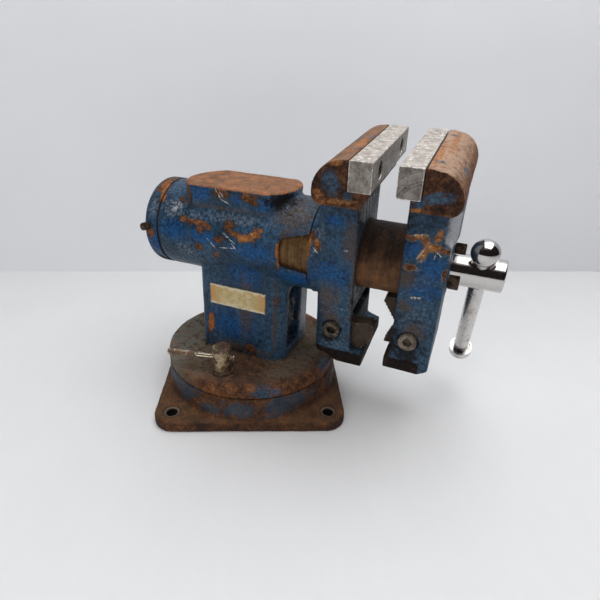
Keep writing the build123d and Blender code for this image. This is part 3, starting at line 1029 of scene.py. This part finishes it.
boltLook = {
    **pipeJawLook,
    "tones": (tone(66, 57, 49), tone(128, 118, 104)),
    "chipTone": tone(170, 160, 144),
    "rustFrom": 0.56,
    "edgeShine": 0.3,
}
neckBoltLook = {**pipeJawLook, "tones": (tone(34, 29, 26), tone(72, 64, 54)), "edgeShine": 0.2}
collarLook = {
    **pipeJawLook,
    "tones": (tone(34, 23, 17), tone(58, 41, 30)),
    "edgeShine": 0.12,
    "gloss": 0.15,
}
washerLook = {
    **rustedSteelLook,
    "tones": (tone(54, 40, 30), tone(100, 80, 62)),
    "rustFrom": 0.45,
    "blotches": 0.0,
    "edgeShine": 0.1,
    "metallic": 0.3,
}
bronzeLook = {
    **rustedSteelLook,
    "tones": (tone(128, 92, 48), tone(196, 158, 96)),
    "rustFrom": 0.75,
    "blotches": 0.3,
}
chromeLook = {
    "bright": tone(201, 198, 196),
    "dull": tone(156, 146, 136),
    "pit": tone(92, 74, 60),
    "fine": 0.0014,
    "broad": 0.011,
    "pitSize": 0.0020,
    "pits": 0.15,
    "haze": 0.3,
    "ripple": 0.00002,
    "roughness": 0.07,
}
barChromeLook = {**chromeLook, "pits": 1.0, "haze": 0.9, "ripple": 0.00008, "roughness": 0.2}

bodyPaint = paintedCasting("bodyPaint", "body", bodyLook, bodyBare)
fixedJawPaint = paintedCasting("fixedJawPaint", "head", fixedJawLook, fixedJawBare)
movingJawPaint = paintedCasting("movingJawPaint", "head", movingJawLook, movingJawBare)
capPaint = paintedCasting("capPaint", "body", capLook, capBare)
baseIron = rustedBase("baseIron", baseLook)
labelFilm = oldLabel("labelFilm", labelPlan)
fixedBarSteel = steel("fixedBarSteel", "head", jawBarLook)
movingBarSteel = steel("movingBarSteel", "head", movingBarLook)
rustedSteel = steel("rustedSteel", "body", rustedSteelLook)
tommySteel = steel("tommySteel", "body", tommyLook)
pipeJawSteel = steel("pipeJawSteel", "head", pipeJawLook)
collarSteel = steel("collarSteel", "body", collarLook)
boltSteel = steel("boltSteel", "head", boltLook)
neckBoltSteel = steel("neckBoltSteel", "head", neckBoltLook)
washerSteel = steel("washerSteel", "body", washerLook)
nutBronze = steel("nutBronze", "head", bronzeLook)
brightChrome = chrome("brightChrome", chromeLook)
pittedChrome = chrome("pittedChrome", barChromeLook)
print("materials made:", len(bpy.data.materials))


lumpTexture = bpy.data.textures.new("castLumps", "CLOUDS")
lumpTexture.noise_scale = 0.012
lumpTexture.noise_depth = 2
dentTexture = bpy.data.textures.new("dents", "CLOUDS")
dentTexture.noise_scale = 0.004
dentTexture.noise_depth = 1
sameVertex = 0.00001  # corners of a solid's loose triangles this close are one

# A piece is remeshed at its voxel, smoothed, and pressed in by its texture, so it stays inside its solid.
# drop is how far it is lowered meanwhile: patches are placed from the spindle's axis
castSkin = {
    "slot": "blue_hammered_casting",
    "drop": vise["axisHeight"],
    "texture": lumpTexture,
    "onHead": False,
}
steelSkin = {"slot": "rusted_steel", "drop": 0, "texture": dentTexture, "onHead": False}
skins = {
    "body": {**castSkin, "voxel": 0.0017, "soften": 3, "depth": 0.0006},
    "base": {**castSkin, "slot": "rusted_casting", "voxel": 0.0016, "soften": 4, "depth": 0.0008},
    "jaw": {**castSkin, "onHead": True, "voxel": 0.0014, "soften": 2, "depth": 0.0004},
    "cap": {**castSkin, "onHead": True, "voxel": 0.0010, "soften": 3, "depth": 0.0003},
    "jawBar": {**steelSkin, "slot": "worn_jaw_steel", "voxel": 0.0006, "soften": 2, "depth": 0.0003},
    "pipeJaw": {**steelSkin, "voxel": 0.0005, "soften": 2, "depth": 0.0003},
    "lockScrew": {**steelSkin, "voxel": 0.00045, "soften": 5, "depth": 0.0004},
    "tommyBar": {**steelSkin, "voxel": 0.0004, "soften": 10, "depth": 0.00004},
}

# Each piece has its skin, material, body, CAD node, and the look whose patches are marked on it
softenedParts = {
    "bodyCasting": ("body", bodyPaint, "swivel_body", "swivel_body", bodyLook),
    "baseCasting": ("base", baseIron, "base", "base_casting", baseLook),
    "fixedJawCasting": ("jaw", fixedJawPaint, "head", "fixed_jaw", fixedJawLook),
    "movingJawCasting": ("jaw", movingJawPaint, "moving_jaw", "moving_jaw", movingJawLook),
    "rearCapCasting": ("cap", capPaint, "head", "rear_cap", capLook),
    "fixedJawBar": ("jawBar", fixedBarSteel, "head", "fixed_jaw_bar", None),
    "movingJawBar": ("jawBar", movingBarSteel, "moving_jaw", "moving_jaw_bar", None),
    "fixedPipeJaw": ("pipeJaw", pipeJawSteel, "head", "fixed_pipe_jaw", None),
    "movingPipeJaw": ("pipeJaw", pipeJawSteel, "moving_jaw", "moving_pipe_jaw", None),
    "nearLockScrew": ("lockScrew", rustedSteel, "near_lock", "swivel_lock_screw_near", None),
    "farLockScrew": ("lockScrew", rustedSteel, "far_lock", "swivel_lock_screw_far", None),
    "nearTommyBar": ("tommyBar", tommySteel, "near_lock_bar", "tommy_bar_near", None),
    "farTommyBar": ("tommyBar", tommySteel, "far_lock_bar", "tommy_bar_far", None),
}


def onlySelect(piece):
    bpy.ops.object.select_all(action="DESELECT")
    piece.select_set(True)
    bpy.context.view_layer.objects.active = piece


def modify(piece, kind, **settings):
    # Adds a modifier and applies it at once
    onlySelect(piece)
    added = piece.modifiers.new(kind.lower(), kind)
    for name, value in settings.items():
        setattr(added, name, value)
    bpy.ops.object.modifier_apply(modifier=added.name)


def turnPiece(piece, turn):
    # Turns the mesh itself; the piece's object stays unturned
    onlySelect(piece)
    piece.matrix_world = turn
    bpy.ops.object.transform_apply(location=True, rotation=True, scale=True)


def mergedCopy(name, node):
    # A new piece from the mesh of a frame's node, with its triangles joined
    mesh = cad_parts[node].data.copy()
    mesh.materials.clear()
    piece = bpy.data.objects.new(name, mesh)
    bpy.context.collection.objects.link(piece)
    onlySelect(piece)
    bpy.ops.object.mode_set(mode="EDIT")
    bpy.ops.mesh.select_all(action="SELECT")
    bpy.ops.mesh.remove_doubles(threshold=sameVertex)
    bpy.ops.object.mode_set(mode="OBJECT")
    return piece


def settle(piece, body, node):
    # The piece takes the place of its node and moves with the body
    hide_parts(node)
    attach(piece, body)


nearSide = -20  # patches with y under this are on the near side
unmarked = 9.0  # what a point far from every patch keeps


def bothSides(patches, middle):
    # The patches of the near side come again on the far side, the other way round
    near = [mark for mark in patches if mark[0][1] < nearSide]
    return patches + [((2 * middle - x, -y, z), half, -turn) for (x, y, z), half, turn in near]


def markPatches(piece, places):
    # Each kind of patch becomes an attribute: how far a point is from the nearest one, 1 being its edge
    points = numpy.empty(len(piece.data.vertices) * 3)
    piece.data.vertices.foreach_get("co", points)
    points = points.reshape(-1, 3) * 1000
    for kind in patchKinds:
        nearest = numpy.full(len(points), unmarked)
        for centre, half, turn in bothSides(places.get(kind, []), places["middle"]):
            x, y, z = (points - centre).T
            cosine, sine = math.cos(math.radians(turn)), math.sin(math.radians(turn))
            along, rise = x * cosine + z * sine, z * cosine - x * sine
            away = numpy.sqrt((along / half[0]) ** 2 + (y / half[1]) ** 2 + (rise / half[2]) ** 2)
            nearest = numpy.minimum(nearest, away)
        piece.data.attributes.new(kind, "FLOAT", "POINT").data.foreach_set("value", nearest)


def makeSoftened(name, skin, material, body, node, look):
    # A copy of a solid with rounded edges, worked on square to the vise's own axes and then turned back
    piece = mergedCopy(name, node)
    place = viseTurn(skin["onHead"]).to_4x4() @ Matrix.Translation((0, 0, -skin["drop"]))
    turnPiece(piece, place)
    pressed = {"texture": skin["texture"], "texture_coords": "LOCAL", "strength": skin["depth"]}
    modify(piece, "REMESH", mode="VOXEL", voxel_size=skin["voxel"])
    modify(piece, "SMOOTH", factor=0.5, iterations=skin["soften"])
    modify(piece, "DISPLACE", mid_level=1, **pressed)
    if look:
        markPatches(piece, look)
    turnPiece(piece, place.inverted())
    bpy.ops.object.shade_smooth()
    piece.data.materials.append(material)
    settle(piece, body, node)
    return piece


for name, (skin, material, body, node, look) in softenedParts.items():
    piece = makeSoftened(name, skins[skin], material, body, node, look)
    print("softened", name, len(piece.data.polygons), "faces")


def raggedCut(u, v):
    # How deep the film's edge is torn here, about 0 to 1
    return abs(math.sin(u * 23) * 0.4 + math.sin(u * 51 + 2) * 0.35 + math.sin(v * 31) * 0.3)


def makeLabel(plan):
    # A grid of the label's size with curled corners and ragged edges, made solid, on the column's face
    halfLong, halfHigh = plan["half"]
    centreX, centreZ = plan["centre"]
    bpy.ops.object.select_all(action="DESELECT")
    columns, rows = plan["squares"]
    bpy.ops.mesh.primitive_grid_add(x_subdivisions=columns, y_subdivisions=rows, size=2)
    piece = bpy.context.active_object
    piece.name = "blankLabel"
    bpy.ops.object.mode_set(mode="EDIT")
    bpy.ops.mesh.select_all(action="SELECT")
    bpy.ops.transform.resize(value=(halfLong, halfHigh, 1))
    bpy.ops.object.mode_set(mode="OBJECT")
    for vertex in piece.data.vertices:
        u, v = vertex.co.x / halfLong, vertex.co.y / halfHigh
        corner = max(0, abs(u) * 0.6 + abs(v) * 0.4 - 0.82)
        vertex.co.z = corner * plan["curl"] * (1.5 if u > 0 and v > 0 else 0.6)
        if abs(u) > 0.96 or abs(v) > 0.9:
            vertex.co.x *= 1 - 0.006 * raggedCut(u, v)
            vertex.co.y *= 1 - 0.018 * raggedCut(u, v)
    modify(piece, "SOLIDIFY", thickness=plan["thick"], offset=-1)
    stand = Matrix.Translation((centreX, plan["face"], centreZ)) @ Matrix.Rotation(math.pi / 2, 4, "X")
    lift = Matrix.Translation((0, 0, vise["axisHeight"]))
    turnPiece(piece, lift @ Matrix.Rotation(-vise["swivel"], 4, "Z") @ stand)
    bpy.ops.object.shade_smooth_by_angle(angle=math.radians(35))
    piece.data.materials.append(labelFilm)
    settle(piece, "swivel_body", "blank_label")
    return piece


label = makeLabel(labelPlan)
print("label made:", len(label.data.polygons), "faces")


# These keep their solids and only get a material
keptParts = {
    brightChrome: ["spindle_screw", "handle_ball"],
    pittedChrome: ["handle_bar", "handle_end_cap"],
    collarSteel: ["thrust_collar", "thrust_washer", "retaining_collar", "retaining_pin", "cap_lock_screw"],
    nutBronze: ["spindle_nut"],
    # Painted shade: the jaw bars' screws take this dark steel, as they sit deep in their sockets
    neckBoltSteel: [
        "fixed_pipe_jaw_bolt",
        "fixed_pipe_jaw_nut",
        "fixed_jaw_bar_screws",
        "moving_jaw_bar_screws",
    ],
    boltSteel: ["moving_pipe_jaw_bolt", "moving_pipe_jaw_nut", "spindle_nut_bolt"],
    washerSteel: [
        "swivel_lock_washer_near",
        "swivel_lock_washer_far",
        "swivel_lock_nut_near",
        "swivel_lock_nut_far",
        "pivot_bolt",
        "pivot_washer",
    ],
    rustedSteel: ["head_lock_screw"],
    tommySteel: ["head_lock_bar"],
}
for material, nodes in keptParts.items():
    for node in nodes:
        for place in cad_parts[node].material_slots:
            place.material = material
print("kept parts finished")


# The wall's foot runs through these two places on the floor
stagePlan = {
    "floorTone": tone(228, 229, 229),
    "floorSize": 12,
    "wallTone": tone(246, 248, 252),
    "wallFoot": ((-0.30, 0.2831), (0.475, 0.3222)),
    "wallLong": 6,
    "wallHigh": 1.6,
    "mottle": 0.09,
    "streaks": 0.012,
    "roughness": 0.7,
}


def stageMaterial(name, colour, plan, oneSided):
    # A faintly mottled board. One-sided, it is clear from behind, so that the vise can be seen through it
    made = newMaterial(name)
    tree = made.node_tree
    where = Wire(tree).node("TexCoord", {}, {}, "Object")
    mottle = noise(where, plan["mottle"], 4, 0.6)
    streaks = noise(stretched(where, 1, 9, 1), plan["streaks"], 3, 0.6)
    shader = tree.nodes["Principled BSDF"]
    mixed = shade(colour, mottle * 0.06 + streaks * 0.03 + 0.955)
    tree.links.new(mixed.socket, shader.inputs["Base Color"])
    shader.inputs["Roughness"].default_value = plan["roughness"]
    if oneSided:
        behind = where.node("NewGeometry", {}, {}, "Backfacing")
        clear = where.node("BsdfTransparent", {}, {})
        front = Wire(tree, shader.outputs[0])
        both = where.node("MixShader", {}, {0: behind, 1: front, 2: clear})
        tree.links.new(both.socket, tree.nodes["Material Output"].inputs["Surface"])
    return made


def addBoard(name, size, material):
    bpy.ops.object.select_all(action="DESELECT")
    bpy.ops.mesh.primitive_plane_add(size=size)
    board = bpy.context.active_object
    board.name = name
    board.data.materials.append(material)
    return board


def makeStage(plan):
    # A floor, and a wall that stands on it behind the vise
    floorFace = stageMaterial("paleFloor", plan["floorTone"], plan, False)
    wallFace = stageMaterial("paleWall", plan["wallTone"], plan, True)
    floor = addBoard("floor", plan["floorSize"], floorFace)
    wall = addBoard("wall", 1, wallFace)
    (x0, y0), (x1, y1) = plan["wallFoot"]
    along = Vector((x1 - x0, y1 - y0, 0)).normalized()
    middle = Vector(((x0 + x1) / 2, (y0 + y1) / 2, plan["wallHigh"] / 2))
    out = along.cross(Vector((0, 0, 1)))
    sides = Matrix((along * plan["wallLong"], Vector((0, 0, plan["wallHigh"])), out))
    wall.matrix_world = Matrix.Translation(middle) @ sides.transposed().to_4x4()
    print("floor and wall made")


makeStage(stagePlan)


# It stands where y is under backEdge, and fades from its low tone to its top one between two heights
curtainPlan = {
    "radius": 2.4,
    "high": 3.2,
    "backEdge": 0.1,
    "low": tone(44, 35, 34),
    "top": tone(126, 106, 92),
    "fade": (2.2, 3.2),
}


def makeCurtain(plan):
    # A dark curtain round the front of the room, there only for shiny metal to mirror
    bpy.ops.object.select_all(action="DESELECT")
    bpy.ops.mesh.primitive_cylinder_add(
        vertices=64, radius=plan["radius"], depth=plan["high"], end_fill_type="NOTHING",
        location=(0, 0, plan["high"] / 2),
    )
    curtain = bpy.context.active_object
    curtain.name = "curtain"
    bpy.ops.object.transform_apply(location=True, rotation=True, scale=True)
    bpy.ops.object.mode_set(mode="EDIT")
    bpy.ops.mesh.select_mode(type="VERT")
    bpy.ops.mesh.select_all(action="DESELECT")
    bpy.ops.object.mode_set(mode="OBJECT")
    for vertex in curtain.data.vertices:
        vertex.select = vertex.co.y > plan["backEdge"]
    bpy.ops.object.mode_set(mode="EDIT")
    bpy.ops.mesh.delete(type="VERT")
    bpy.ops.object.mode_set(mode="OBJECT")
    cloth = newMaterial("curtainCloth")
    tree = cloth.node_tree
    height = axes(Wire(tree).node("TexCoord", {}, {}, "Object"))[2]
    faded = blend(smooth(height, *plan["fade"]), plan["low"], plan["top"])
    shader = tree.nodes["Principled BSDF"]
    tree.links.new(faded.socket, shader.inputs["Base Color"])
    shader.inputs["Roughness"].default_value = 1
    curtain.data.materials.append(cloth)
    curtain.visible_camera = curtain.visible_diffuse = False
    curtain.visible_shadow = curtain.visible_transmission = False
    print("curtain made")


makeCurtain(curtainPlan)


lightPlan = {
    "overhead": {
        "at": (0.32, -0.14, 1.25),
        "aim": (0.03, 0.0, 0.12),
        "size": (1.3, 1.0),
        "power": 11.3,
        "mirrored": True,
    },
    "front": {
        "at": (-0.75, -1.15, 0.85),
        "aim": (0.03, 0.0, 0.15),
        "size": (0.9, 0.9),
        "power": 5.8,
        "mirrored": False,
    },
}
for name, plan in lightPlan.items():
    lamp = bpy.data.lights.new(name, "AREA")
    lamp.shape = "RECTANGLE"
    lamp.size, lamp.size_y = plan["size"]
    lamp.energy = plan["power"]
    holder = bpy.data.objects.new(name, lamp)
    bpy.context.collection.objects.link(holder)
    holder.location = plan["at"]
    holder.visible_glossy = plan["mirrored"]
    down = Vector(plan["aim"]) - Vector(plan["at"])
    holder.rotation_euler = down.to_track_quat("-Z", "Y").to_euler()
print("lights set:", len(lightPlan))


# sky runs from straight down to straight up
worldPlan = {
    "sky": [
        (0.0, tone(150, 150, 150)),
        (0.48, tone(162, 163, 166)),
        (0.62, tone(208, 211, 217)),
        (1.0, tone(238, 242, 249)),
    ],
    "brown": tone(126, 106, 92),
    "dark": tone(44, 35, 34),
    "backdrop": tone(214, 216, 220),
    "strength": 0.95,
}


def makeWorld(plan):
    # A room that is bright above, dimmer low down and dark on the camera's side. What is seen, mirrored or
    # seen through glass is the pale backdrop
    world = bpy.data.worlds.new("room")
    world.use_nodes = True
    bpy.context.scene.world = world
    tree = world.node_tree
    where = Wire(tree).node("TexCoord", {}, {}, "Generated")
    y, z = axes(where)[1:]
    height = z * 0.5 + 0.5
    sky = height.node("ValToRGB", {"stops": plan["sky"]}, {"Fac": height})
    browned = smooth(y, 0.35, -0.1) * smooth(z, 0.98, 0.80)
    room = blend(browned * 0.85, sky, plan["brown"])
    dark = smooth(y, 0.30, -0.15) * smooth(z, 0.84, 0.60)
    room = blend(dark * 0.96, room, plan["dark"])
    seen = where.node("LightPath", {}, {}, "Is Camera Ray")
    mirrored = where.node("LightPath", {}, {}, "Is Glossy Ray")
    through = where.node("LightPath", {}, {}, "Is Transmission Ray")
    room = blend(seen + mirrored + through, room, plan["backdrop"])
    tree.links.new(room.socket, tree.nodes["Background"].inputs["Color"])
    tree.nodes["Background"].inputs["Strength"].default_value = plan["strength"]
    print("room light made")


makeWorld(worldPlan)


# The pitch is down, the yaw to the right; the lens and the sensor are millimetres
cameraPlan = {
    "at": (0.01523, -0.43293, 0.31281),
    "pitch": math.radians(26.54),
    "yaw": math.radians(4.42),
    "roll": math.radians(2.88),
    "lens": 27.686,
    "sensor": 36,
    "nearest": 0.01,
}
eye = bpy.data.cameras.new("camera")
eye.sensor_width = cameraPlan["sensor"]
eye.lens = cameraPlan["lens"]
eye.clip_start = cameraPlan["nearest"]
camera = bpy.data.objects.new("camera", eye)
bpy.context.collection.objects.link(camera)
heading = Matrix.Rotation(-cameraPlan["yaw"], 4, "Z")
tilt = Matrix.Rotation(math.pi / 2 - cameraPlan["pitch"], 4, "X")
roll = Matrix.Rotation(cameraPlan["roll"], 4, "Z")
camera.matrix_world = Matrix.Translation(cameraPlan["at"]) @ heading @ tilt @ roll
bpy.context.scene.camera = camera
bpy.context.scene.view_settings.view_transform = "Standard"
print("camera set")
